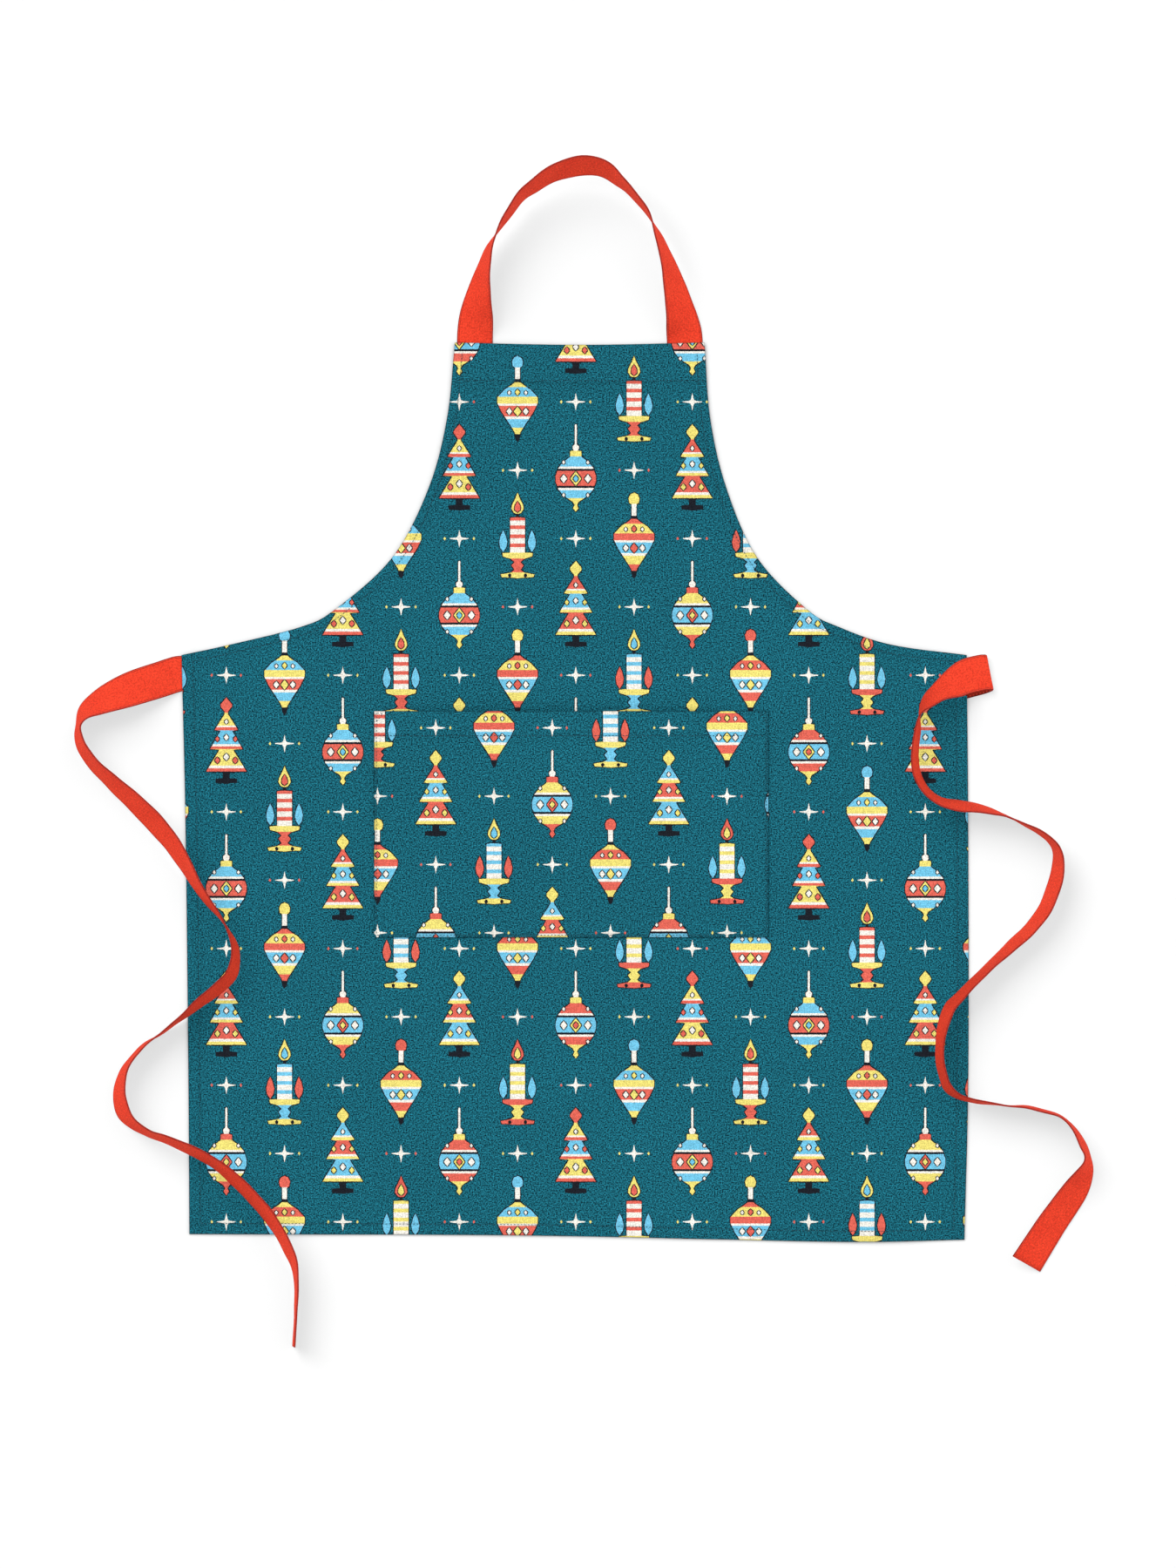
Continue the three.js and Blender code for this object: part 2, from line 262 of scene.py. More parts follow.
WAIST_TIE_RIGHT = table(ROUTE, [
    (341, -24.6, 0, -88, 0),
    (350, -22.2, 0, -77, 0),
    (362, -19, 0, -76, 0),
    (367.5, -17, 1.2, -78, 0),
    (369.8, -15.6, 3.7, -79, 0),
    (367.5, -15.2, 6.2, -80, 0),
    (362, -15.6, 7.4, -81, 0),
    (347, -19, 7, -80, 8),
    (334.5, -27, 5, -57, 39),
    (324, -33, 3.6, -53, 59),
    (314, -41, ON_PANEL, -47, 67),
    (307, -51, ON_PANEL, -30, 88),
    (305, -66, ON_PANEL, -7, 100),
    (302, -90, ON_PANEL, -3, 103),
    (303, -101, ON_PANEL, 10, 103),
    (306, -111, ON_PANEL, 26, 102),
    (311, -120, ON_PANEL, 40, 102),
    (319, -127, ON_PANEL, 53, 102),
    (328, -132, ON_PANEL, 67, 103),
    (342, -134.6, ON_PANEL, 82, 108),
    (355, -136, ON_PANEL, 82, 106),
    (370, -139, 1, 75, 100),
    (382, -143, 0, 72, 91),
    (393, -147.5, 0, 66, 89.5),
    (402, -152, 0, 61, 87),
    (414, -158, 0, 56, 83),
    (423, -164.5, 0, 45, 82),
    (429, -173, 0, 30, 79),
    (431, -186, 0, 0, 73),
    (428, -203, 0, -15, 67),
    (419, -227, 0, -32, 70),
    (406, -244, 0, -44, 71),
    (387, -261, 0, -49, 74),
    (366, -280.5, 1.5, -45, 78),
    (356, -290.5, ON_PANEL, -44, 79),
    (340, -307, ON_PANEL, -42, 75),
    (333, -314.5, ON_PANEL, -30, 73),
    (327, -331, ON_PANEL, -12, 74),
    (323.5, -356, ON_PANEL, 1, 79),
    (328, -378, ON_PANEL, 23, 79),
    (332, -387, ON_PANEL, 40, 76),
    (341, -394, ON_PANEL, 60, 82),
    (351, -397, ON_PANEL, 77, 84),
    (363, -399, 1.2, 80, 84),
    (387, -402.5, 0, 87, 90),
    (403, -403, 0, 82, 94),
    (422, -408, 0, 72, 92),
    (434, -412, 0, 63, 92),
    (443.5, -421, 0, 45, 95),
    (453, -437.5, 0, 22, 102),
    (457, -448, 0, 15, 99),
    (455, -461, 0, -17, 120),
    (445, -479, 0, -32, 140),
    (425, -507, 0, -35, 147),
    (402, -543.5, 0, -30, 155),
])

# Sewing: each stitch stands proud of the cloth by a share of its height, and slants by chance
STITCH = {"pitch": 3.1, "length": 2.2, "width": 0.75, "height": 0.4, "proud": 0.2, "slant": 0.1}
STITCH_AIM = 0.4
SEAM_SPACING = 3
SEAM_END = {"panel": 3, "pocket": 2}
SEEDS = {"panel": 5, "pocket": 8}

# The print: ornaments in columns, every other column dropped by half a row. Each ornament is the
# same on both sides of its axis. An outline is its half width at rising heights, and bands say
# from which height on an ink is used.
PRINT_COLUMN = 52
PRINT_ROW = 122
PRINT_LINE = 0.7
PRINT_COVER = {"ground": 0.97, "reverse": 0.14}
LOZENGE_TALL = 1.3
BLEED = {"scale": 1400.0, "reach": 0.0009}
POCKET_SHIFT = (0.021, 0.047, 0)
INKS = ["main", "second", "third", "light", "dark"]
COLOURWAYS = table("main second third light dark", [
    ("coral", "yellow", "sky", "cream", "black"),
    ("sky", "yellow", "coral", "cream", "black"),
    ("yellow", "coral", "sky", "cream", "black"),
])
DYES = {
    "ground_deep": (0.0001, 0.004, 0.008, 1),
    "ground_pale": (0.0145, 0.2, 0.276, 1),
    "coral": (0.66, 0.115, 0.08, 1),
    "yellow": (0.75, 0.64, 0.16, 1),
    "sky": (0.145, 0.48, 0.68, 1),
    "cream": (0.78, 0.75, 0.68, 1),
    "black": (0.01, 0.009, 0.013, 1),
    "reverse_deep": (0.035, 0.1, 0.12, 1),
    "reverse_pale": (0.105, 0.28, 0.32, 1),
    "tape": (0.74, 0.052, 0.0225, 1),
    "tape_deep": (0.55, 0.026, 0.014, 1),
    "tape_painted_shade": (0.2, 0.01, 0.009, 1),
    "tape_painted_highlight": (0.8, 0.085, 0.045, 1),
    "teal_thread": (0.002, 0.028, 0.044, 1),
    "teal_twist": (0.008, 0.07, 0.1, 1),
    "red_thread": (0.5, 0.02, 0.012, 1),
    "red_twist": (0.7, 0.05, 0.03, 1),
}


def layer(outline, bands, offset=0):
    """One layer of an ornament, or a pair of them at an offset from its axis."""
    return {"outline": outline, "bands": bands, "offset": offset}


def lozenges(ink, places, offset=0):
    """Lozenges of one ink, given as height and half width."""
    outline = []
    for height, half in places:
        rise = LOZENGE_TALL * half
        outline += [(height - rise, 0), (height, half), (height + rise, 0)]
    return layer(outline, [(0, ink)], offset)


FIR = [
    layer(
        [(8, 0), (8.3, 9), (11, 9), (11.4, 2.4), (17.6, 2.4), (18, 18), (37.6, 6), (38, 14.5),
         (54.6, 5), (55, 10.5), (69, 1.6), (71.5, 1.4), (76, 5), (78, 5), (84, 0)],
        [(0, "dark"), (17.8, "second"), (20.8, "light"), (23.2, "main"), (37.8, "second"),
         (40.4, "light"), (42.4, "third"), (54.8, "second"), (57.2, "light"), (58.8, "main"),
         (70.4, "second")],
    ),
    lozenges("second", [(28, 2.3), (47, 1.9)], 8),
    lozenges("light", [(31, 2.6), (48.5, 2.2), (62.5, 1.7)]),
]
BAUBLE = [
    layer(
        [(6, 0), (9, 2.4), (12, 1), (15, 2.8), (18, 7.5), (21, 11.6), (26, 15.6), (33, 18),
         (38, 18), (45, 15.6), (50, 11.6), (53, 7.5), (55, 5), (60, 5), (60.4, 1.8), (62.5, 2.8),
         (64.5, 2.8), (66, 0.9), (83.6, 0.9), (84, 0)],
        [(0, "second"), (18, "main"), (25, "light"), (27, "dark"), (28.6, "third"),
         (42.4, "dark"), (44, "light"), (46, "main"), (55, "second"), (60.2, "light")],
    ),
    lozenges("second", [(35.5, 4.9)]),
    lozenges("main", [(35.5, 2.3)]),
    lozenges("light", [(35.5, 3), (20.8, 1.4), (50, 1.4)], 10.8),
]
CANDLE = [
    layer(
        [(8, 0), (8.3, 14), (11, 15), (12.6, 6), (15, 2.6), (19, 5.4), (22, 2.6), (25, 6),
         (27, 13), (30, 13.6), (30.4, 6.6), (61.6, 6.6), (62, 0.8), (65, 0.8), (66, 3.2),
         (69.5, 5.4), (73, 4.9), (79, 1.9), (84, 0)],
        [(0, "second"), (12.6, "main"), (25, "second"), (30.2, "light"), (35, "main"),
         (38.4, "light"), (43, "main"), (46.4, "light"), (51, "main"), (54.4, "light"),
         (59, "main"), (61.8, "dark"), (65.2, "second")],
    ),
    layer([(66.6, 0), (69, 2.6), (72, 2.3), (76.4, 0)], [(0, "main")]),
    layer([(31, 0), (35, 2.7), (40, 3.6), (46, 2.1), (50.6, 0)], [(0, "third")], 12.8),
    lozenges("dark", [(10, 1)], 7),
]
SPINNING_TOP = [
    layer(
        [(8, 0), (10, 1.1), (16, 2.6), (24, 7.6), (34, 14.2), (42, 18), (47, 18), (54, 11.6),
         (58, 5.4), (60, 3), (61, 2.1), (73.6, 2.1), (75, 4.2), (79, 4.9), (82.6, 3.2), (84, 0)],
        [(0, "dark"), (14, "second"), (20, "main"), (27.6, "light"), (29.6, "third"),
         (39.4, "light"), (41.4, "second"), (47.6, "main"), (56, "second"), (60.4, "dark"),
         (63, "light"), (73.8, "main")],
    ),
    lozenges("second", [(34.5, 3.4), (51.6, 2.2)]),
    lozenges("light", [(34.5, 2.5), (51.2, 1.5)], 7.4),
]
SPARK = [
    layer([(96, 0), (101, 1), (103, 2), (103.6, 8.4), (104.4, 8.4), (105, 2), (107, 1), (112, 0)],
          [(0, "light")]),
    lozenges("second", [(104, 1.2)], 13),
]
ORNAMENTS = [FIR, BAUBLE, CANDLE, SPINNING_TOP]


# Curves
def smooth_curve(rows, steps):
    """Smooth curve through the rows, with a number of steps between each two."""
    rows = np.asarray(rows, float)
    guided = np.vstack([2 * rows[0] - rows[1], rows, 2 * rows[-1] - rows[-2]])
    share = np.arange(steps)[:, None] / steps
    stretches = []
    for a, b, c, d in zip(guided, guided[1:], guided[2:], guided[3:]):
        stretches.append(
            b
            + (c - a) / 2 * share
            + (a - 2.5 * b + 2 * c - d / 2) * share**2
            + (1.5 * (b - c) + (d - a) / 2) * share**3
        )
    return np.vstack([*stretches, rows[-1:]])


def travel(points):
    """Distance along a line of points, at each of them."""
    lengths = np.linalg.norm(np.diff(points, axis=0), axis=1)
    return np.concatenate([[0], np.cumsum(lengths)])


def along_line(points, marks):
    """Points of a line at these distances along it."""
    travelled = travel(points)
    columns = [np.interp(marks, travelled, points[:, k]) for k in range(points.shape[1])]
    return np.column_stack(columns)


def even_steps(points, spacing):
    """The same line, with its points about a spacing apart."""
    total = travel(points)[-1]
    return along_line(points, np.linspace(0, total, max(3, round(total / spacing) + 1)))


def unit(vectors):
    return vectors / np.linalg.norm(vectors, axis=-1, keepdims=True)


def smoothstep(share):
    share = np.clip(share, 0, 1)
    return share * share * (3 - 2 * share)


# The panel's cut edge
def panel_runs():
    """The cut edge, anticlockwise, as runs that each have their own hem."""
    stretch = {
        "left": 1 + BOTTOM[0]["sag"] / SKIRT_LENGTH,
        "right": 1 + BOTTOM[-1]["sag"] / SKIRT_LENGTH,
    }

    def run(rows):
        return even_steps(smooth_curve(rows, EDGE_STEPS), EDGE_SPACING)

    def armhole(side):
        return run([(row[side], row["above"]) for row in ARMHOLES])

    def skirt_side(side):
        return run([(row[side], -row["below"] * stretch[side]) for row in SIDES])

    left, right = ARMHOLES[0]["left"], ARMHOLES[0]["right"]
    bib_top = run([
        (right, BIB_HEIGHT),
        ((left + right) / 2, BIB_HEIGHT - BIB_DIP),
        (left, BIB_HEIGHT),
    ])
    bottom = run([(row["x"], -SKIRT_LENGTH - row["sag"]) for row in BOTTOM])
    return [
        ("bottom", bottom),
        ("side", skirt_side("right")[::-1]),
        ("armhole", armhole("right")[::-1]),
        ("bib_top", bib_top),
        ("armhole", armhole("left")),
        ("side", skirt_side("left")),
    ]


PANEL_RUNS = panel_runs()


def cross2(a, b):
    return a[0] * b[1] - a[1] * b[0]


def inset_runs(depths):
    """The runs of the cut edge moved inwards by these depths, with mitred corners."""
    moved = []
    for (name, points), depth in zip(PANEL_RUNS, depths):
        ahead = unit(np.gradient(points, axis=0))
        inwards = np.column_stack([-ahead[:, 1], ahead[:, 0]])
        moved.append({"points": points + inwards * depth, "ahead": ahead, "start": 0, "end": 0})
    for before, after in zip(moved, moved[1:] + moved[:1]):
        between = after["points"][0] - before["points"][-1]
        turn = cross2(before["ahead"][-1], after["ahead"][0])
        before["end"] = cross2(between, after["ahead"][0]) / turn
        after["start"] = cross2(between, before["ahead"][-1]) / turn
    runs = []
    for run in moved:
        share = np.linspace(0, 1, len(run["points"]))[:, None]
        slide = run["start"] * (1 - share) ** 3 + run["end"] * share**3
        runs.append(run["points"] + run["ahead"] * slide)
    return runs


def inset_loop(depths):
    return np.vstack([points[:-1] for points in inset_runs(depths)])


def distance_to(line, xy):
    """Distance of each point from a line of points."""
    start, ahead = line[:-1], np.diff(line, axis=0)
    offset = xy[:, None, :] - start
    share = np.clip((offset * ahead).sum(-1) / (ahead**2).sum(-1), 0, 1)
    return np.linalg.norm(offset - share[..., None] * ahead, axis=-1).min(axis=1)


# How the cloth lies
def crease_height(creases, xy):
    height = np.zeros(len(xy))
    for crease in creases:
        start = np.array([crease["x0"], crease["y0"]])
        ahead = np.array([crease["x1"], crease["y1"]]) - start
        share = ((xy - start) @ ahead) / (ahead @ ahead)
        aside = cross2((xy - start).T, ahead) / np.linalg.norm(ahead)
        ends = smoothstep(share / CREASE_FADE + 0.5) * smoothstep((1 - share) / CREASE_FADE + 0.5)
        height += crease["height"] * ends * np.exp(-((aside / crease["width"]) ** 2))
    return height


def swell_height(xy):
    height = np.zeros(len(xy))
    for swell in SWELLS:
        angle = math.radians(swell["angle"])
        along = xy @ np.array([math.cos(angle), math.sin(angle)])
        wave = np.sin(2 * math.pi * along / swell["length"] + swell["phase"])
        height += swell["height"] * (1 + wave) / 2
    return height


def recess_lift(xy):
    """How far the hems are lifted by the tape ends under them."""
    lift = np.zeros(len(xy))
    for recess in RECESSES:
        aside = np.abs(xy - np.array([recess["x"], recess["y"]]))
        half = np.array([recess["width"], recess["height"]]) / 2
        share = smoothstep((half + RECESS_FALL - aside) / RECESS_FALL)
        lift = np.maximum(lift, RECESS_HEIGHT * share[:, 0] * share[:, 1])
    return lift


def panel_hems(xy):
    """Distances from the cut edge and the skirt's sides, the hems' rise, and their seams."""
    edge = np.full(len(xy), np.inf)
    side = np.full(len(xy), np.inf)
    rise = np.zeros(len(xy))
    groove = np.zeros(len(xy))
    for name, points in PANEL_RUNS:
        distance = distance_to(points, xy)
        hem = HEMS[name]
        edge = np.minimum(edge, distance)
        rise = np.maximum(rise, smoothstep((hem + HEM_STEP - distance) / HEM_STEP))
        seam = (distance - hem + STITCH_INSET) / GROOVE["width"]
        groove = np.maximum(groove, np.exp(-(seam**2)))
        if name == "side":
            side = np.minimum(side, distance)
    return edge, side, rise, groove


def panel_surfaces(xy):
    """Heights of the panel's back and front, and its shade along seams and edges."""
    edge, side, rise, groove = panel_hems(xy)
    calm = smoothstep(side / SWELL_CALM)
    lie = calm * (swell_height(xy) + crease_height(PANEL_CREASES, xy))
    lift = recess_lift(xy)
    thick = CLOTH + (HEM_THICKNESS - CLOTH) * rise - GROOVE["depth"] * groove
    back = FLOOR_GAP + lie + lift
    thick = np.maximum(thick - lift, CLOTH)
    return *rounded_edge(back, thick, edge), seam_shade(groove, edge)


def rounded_edge(back, thick, from_edge):
    """Heights of a cloth's back and front, which meet in a round fold at its edge."""
    near = 1 - np.clip((from_edge - EDGE_SNAP) / FOLD_ROUNDING, 0, 1)
    half = np.sqrt(1 - near**2) * thick / 2
    middle = back + thick / 2
    return middle - half, middle + half


def seam_shade(groove, from_edge):
    """Painted shade: how much darker a cloth is along its seam grooves and at its turned edges."""
    turned = 1 - smoothstep(from_edge / SHADE["edge_width"])
    return np.maximum(SHADE["seam"] * groove, SHADE["edge"] * turned)


def panel_front(xy):
    return panel_surfaces(np.asarray(xy, float))[1]


def pocket_hems(xy):
    """Place across the pocket, distances from its sewn sides and its mouth, and its seams."""
    across = (xy[:, 0] - POCKET["centre"]) / (POCKET["width"] / 2)
    below = POCKET["top"] - xy[:, 1]
    from_side = (1 - np.abs(across)) * POCKET["width"] / 2
    sewn = np.minimum(from_side, POCKET["depth"] - below)
    groove = np.zeros(len(xy))
    for place, seam in (
        (sewn, POCKET_HEM["edge_stitch"]),
        (below, POCKET_HEM["mouth"] - STITCH_INSET),
    ):
        groove = np.maximum(groove, np.exp(-(((place - seam) / GROOVE["width"]) ** 2)))
    return across, sewn, below, groove


def pocket_surfaces(xy):
    """Heights of the pocket's back and front, and its shade along seams and edges."""
    across, sewn, below, groove = pocket_hems(xy)
    down = np.clip(below / POCKET["depth"], 0, 1)
    arch = POCKET_GAPE["height"] * (1 - across**2) * (1 - down ** POCKET_GAPE["power"])
    free = smoothstep(sewn / POCKET_CALM)
    creases = free * crease_height(POCKET_CREASES, xy)
    turned = smoothstep((POCKET_HEM["turned"] + HEM_STEP - sewn) / HEM_STEP)
    mouth = smoothstep((POCKET_HEM["mouth"] + HEM_STEP - below) / HEM_STEP)
    thick = CLOTH + (POCKET_HEM["thickness"] - CLOTH) * np.maximum(turned, mouth)
    thick -= GROOVE["depth"] * groove
    back = panel_front(xy) + POCKET_GAP + arch + creases
    edge = np.minimum(sewn, below)
    return *rounded_edge(back, thick, edge), seam_shade(groove, edge)


# Meshes
def only(geom, kind):
    """The vertices, edges or faces out of a list of all three."""
    return [part for part in geom if isinstance(part, kind)]


def grid(bm, columns, rows):
    """Flat grid of cells, as the column and row of each of its vertices."""
    bmesh.ops.create_grid(bm, x_segments=columns, y_segments=rows, size=0.5)
    return {vert: (round((vert.co.x + 0.5) * columns), round((vert.co.y + 0.5) * rows))
            for vert in bm.verts}


def give_thickness(bm, surfaces):
    """Turns a flat sheet into closed cloth between its back and front surfaces."""
    # The seam attribute holds shade painted along the seams and at the turned edges
    seam = bm.verts.layers.float.new("seam")
    front = list(bm.verts)
    geom = bmesh.ops.duplicate(bm, geom=[*bm.verts, *bm.edges, *bm.faces])["geom"]
    back = only(geom, bmesh.types.BMVert)
    back_faces = only(geom, bmesh.types.BMFace)
    bmesh.ops.reverse_faces(bm, faces=back_faces)
    for face in back_faces:
        face.material_index = 1
    for verts, side in ((back, 0), (front, 1)):
        *heights, shade = surfaces(np.array([vert.co.xy for vert in verts]))
        for vert, height, dark in zip(verts, heights[side], shade):
            vert.co.z = height
            vert[seam] = dark
    bmesh.ops.remove_doubles(bm, verts=bm.verts, dist=CLOTH_WELD)


def make_object(name, data):
    thing = bpy.data.objects.new(name, data)
    bpy.context.scene.collection.objects.link(thing)
    return thing


def make_mesh_object(name, bm, materials):
    mesh = bpy.data.meshes.new(name)
    bm.to_mesh(mesh)
    bm.free()
    for material in materials:
        mesh.materials.append(material)
    return make_object(name, mesh)


def make_piece(name, bm, materials):
    """A bmesh in millimetres as an object in metres that rides on the apron."""
    bmesh.ops.scale(bm, vec=(MM, MM, MM), verts=bm.verts)
    for face in bm.faces:
        face.smooth = True
    piece = make_mesh_object(name, bm, materials)
    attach(piece, "root")
    return piece


def panel_mesh():
    """Flat sheet of the panel: rings along the cut edge, and a grid of cells all over."""
    hems = [HEMS["armhole" if name == "bib_top" else name] for name, points in PANEL_RUNS]
    rings = [[depth] * len(hems) for depth in (0, *EDGE_RINGS)]
    rings += [[hem - line for hem in hems] for line in SEAM_LINES]
    bm = bmesh.new()
    order = bm.verts.layers.int.new("order")
    outline = [bm.verts.new((x, y, 0)) for x, y in inset_loop(rings[0])]
    for i, vert in enumerate(outline):
        vert[order] = i
    edges = [bm.edges.new(pair) for pair in zip(outline, outline[1:] + outline[:1])]
    for ring in rings[1:]:
        loop = inset_loop(ring)
        geom = bmesh.ops.extrude_edge_only(bm, edges=edges)["geom"]
        moved = set(only(geom, bmesh.types.BMVert))
        for vert in moved:
            vert.co.xy = loop[vert[order]]
        edges = [edge for edge in only(geom, bmesh.types.BMEdge) if moved.issuperset(edge.verts)]
    bmesh.ops.edgeloop_fill(bm, edges=edges)
    bib_seam = BIB_HEIGHT - HEMS["bib_top"]
    cuts = [((0, bib_seam + line, 0), (0, 1, 0)) for line in SEAM_LINES[::-1]]
    cuts += [((x, 0, 0), (1, 0, 0)) for x in np.arange(*CELLS_ACROSS, CELL)]
    cuts += [((0, y, 0), (0, 1, 0)) for y in np.arange(*CELLS_ALONG, CELL)]
    for place, facing in cuts:
        geom = [*bm.verts, *bm.edges, *bm.faces]
        bmesh.ops.bisect_plane(bm, geom=geom, dist=CUT_MERGE, plane_co=place, plane_no=facing)
    bmesh.ops.recalc_face_normals(bm, faces=bm.faces)
    if sum(face.normal.z * face.calc_area() for face in bm.faces) < 0:
        bmesh.ops.reverse_faces(bm, faces=bm.faces)
    return bm


def graded_marks(length, near_start, near_end):
    """Marks over a length: a few close ones at each end, and even cells between."""
    first, last = near_start[-1], length - near_end[-1]
    inner = np.linspace(first, last, round((last - first) / POCKET_CELL) + 1)
    return np.array([0, *near_start[:-1], *inner, *(length - np.array(near_end[-2::-1])), length])


def pocket_mesh():
    """Flat sheet of the pocket, a grid with closer lines along its hems."""
    sewn, mouth = POCKET_MARKS["sewn"], POCKET_MARKS["mouth"]
    across = graded_marks(POCKET["width"], sewn, sewn)
    down = graded_marks(POCKET["depth"], mouth, sewn)
    columns, rows = len(across) - 1, len(down) - 1
    bm = bmesh.new()
    for vert, (column, row) in grid(bm, columns, rows).items():
        vert.co.x = POCKET["centre"] - POCKET["width"] / 2 + across[column]
        vert.co.y = POCKET["top"] - down[rows - row]
    return bm


def eased(rows):
    """Rows drawn towards their neighbours, which takes small unevenness out of them."""
    inner = rows[1:-1] + ROUTE_EASE * (rows[:-2] - 2 * rows[1:-1] + rows[2:])
    return np.vstack([rows[:1], inner, rows[-1:]])


def tape_sections(route):
    """Lower edge of a tape, directions across and through it, and length so far, at close steps."""
    rows = np.array([list(row.values()) for row in route], float)
    steps = TAPE_STEPS_PER_ROW
    middle = smooth_curve(eased(rows[:, :2]), steps)
    marks = np.arange(len(middle)) / steps
    ground = np.interp(marks, np.arange(len(rows)), rows[:, 2])
    lying = rows[:, 4:] == 0
    tilts = np.where(lying, rows[:, 3:], eased(rows[:, 3:]))
    angles = np.radians(smooth_curve(tilts, steps))
    turn, lean = angles[:, 0], np.maximum(angles[:, 1], 0)
    flat = np.cos(lean)
    across = np.column_stack([np.cos(turn) * flat, np.sin(turn) * flat, np.sin(lean)])
    height = FLOOR_GAP + ground + TAPE_THICKNESS / 2 * np.abs(flat)
    foot = np.column_stack([middle - across[:, :2] * TAPE_WIDTH / 2, height])
    middle_line = foot + across * TAPE_WIDTH / 2
    through = unit(np.cross(np.gradient(middle_line, axis=0), across))
    return foot, across, through, travel(middle_line)


def tape_ripple(travelled, total, standing, aside):
    """Small unevenness of a tape, sideways: none at its ends and where it lies flat."""
    ends = smoothstep(np.minimum(travelled, total - travelled) / RIPPLE_CALM)
    waves = 0
    for ripple in RIPPLES:
        turn = travelled / ripple["length"] + ripple["slant"] * aside + ripple["phase"]
        waves = waves + ripple["height"] * np.sin(turn)
    return ends * standing * waves


def tape_mesh(route, under_fold):
    """Closed tape along its route. Its first stretch may be painted with the shade of a fold."""
    foot, across, through, travelled = tape_sections(route)
    rim = TAPE_RIM + [(aside, -half) for aside, half in TAPE_RIM[-2::-1]]
    steps, sides = len(foot) - 1, len(rim) - 1
    bm = bmesh.new()
    uv = bm.loops.layers.uv.new("cloth")
    shade = bm.verts.layers.float.new("fold_shade")
    places = grid(bm, steps, sides)
    for face in bm.faces:
        for corner in face.loops:
            step, side = places[corner.vert]
            corner[uv].uv = (travelled[step] * MM, rim[side][0] * MM)
    for vert, (step, side) in places.items():
        aside, half = rim[side]
        push = half + tape_ripple(travelled[step], travelled[-1], across[step][2], aside)
        vert.co = foot[step] + across[step] * aside + through[step] * push
        # Shade of the fold painted on the upward face of the stretch under it
        if half * through[step][2] > 0:
            vert[shade] = smoothstep((under_fold - travelled[step]) / FOLD_FADE)
    bmesh.ops.remove_doubles(bm, verts=bm.verts, dist=TAPE_WELD)
    bmesh.ops.holes_fill(bm, edges=[edge for edge in bm.edges if edge.is_boundary], sides=0)
    bmesh.ops.recalc_face_normals(bm, faces=bm.faces)
    return bm, travelled[-1]


# Sewing
def sew(bm, path, upwards, dice):
    """A row of stitches along a path on the cloth."""
    total = travel(path)[-1]
    marks = np.arange(STITCH["pitch"] / 2, total, STITCH["pitch"])
    places = along_line(path, marks)
    ahead = along_line(path, marks + STITCH_AIM) - along_line(path, marks - STITCH_AIM)
    shares = travel(path) / total
    for place, aim, mark in zip(places, ahead, marks / total):
        up = Vector([np.interp(mark, shares, upwards[:, k]) for k in range(3)]).normalized()
        along = Vector(aim).normalized()
        side = up.cross(along).normalized()
        slant = dice.uniform(-STITCH["slant"], STITCH["slant"])
        along = (along + side * slant).normalized()
        matrix = Matrix((
            along * STITCH["length"] / 2,
            side * STITCH["width"] / 2,
            up * STITCH["height"] / 2,
        )).transposed().to_4x4()
        matrix.translation = place
        bmesh.ops.create_icosphere(bm, subdivisions=1, radius=1, matrix=matrix)


def on_cloth(path, front):
    """A flat path laid on a cloth's front, and the direction upwards along it."""
    path = even_steps(np.asarray(path, float), SEAM_SPACING)
    heights = front(path) + STITCH["height"] * STITCH["proud"]
    upwards = np.tile((0.0, 0.0, 1.0), (len(path), 1))
    return np.column_stack([path, heights]), upwards


def panel_stitches():
    """Seams along the hems. The bib's top hem is sewn straight across."""
    dice = random.Random(SEEDS["panel"])
    bm = bmesh.new()
    depths = [HEMS["armhole"] if name == "bib_top" else HEMS[name] - STITCH_INSET
              for name, points in PANEL_RUNS]
    for (name, points), path in zip(PANEL_RUNS, inset_runs(depths)):
        if name != "bib_top":
            sew(bm, *on_cloth(path, panel_front), dice)
    seam = BIB_HEIGHT - HEMS["bib_top"] + STITCH_INSET
    rising = ARMHOLES[::-1]
    heights = [row["above"] for row in rising]
    left = np.interp(seam, heights, [row["left"] for row in rising]) + SEAM_END["panel"]
    right = np.interp(seam, heights, [row["right"] for row in rising]) - SEAM_END["panel"]
    sew(bm, *on_cloth([(left, seam), (right, seam)], panel_front), dice)
    return bm


def pocket_stitches():
    """Seams along the pocket's sewn sides and its mouth hem, and a tack in each upper corner."""
    def front(xy):
        return pocket_surfaces(xy)[1]

    dice = random.Random(SEEDS["pocket"])
    bm = bmesh.new()
    inset = POCKET_HEM["edge_stitch"]
    left = POCKET["centre"] - POCKET["width"] / 2 + inset
    right = POCKET["centre"] + POCKET["width"] / 2 - inset
    top = POCKET["top"] - POCKET_STITCH_TOP
    bottom = POCKET["top"] - POCKET["depth"] + inset
    seam = POCKET["top"] - POCKET_HEM["mouth"] + STITCH_INSET
    lines = [
        [(left, top), (left, bottom)],
        [(left, bottom), (right, bottom)],
        [(right, bottom), (right, top)],
        [(left + SEAM_END["pocket"], seam), (right - SEAM_END["pocket"], seam)],
    ]
    for corner, inwards in ((left, 1), (right, -1)):
        lines.append([(corner + aside * inwards, top - below) for aside, below in POCKET_TACK])
    for line in lines:
        sew(bm, *on_cloth(line, front), dice)
    return bm


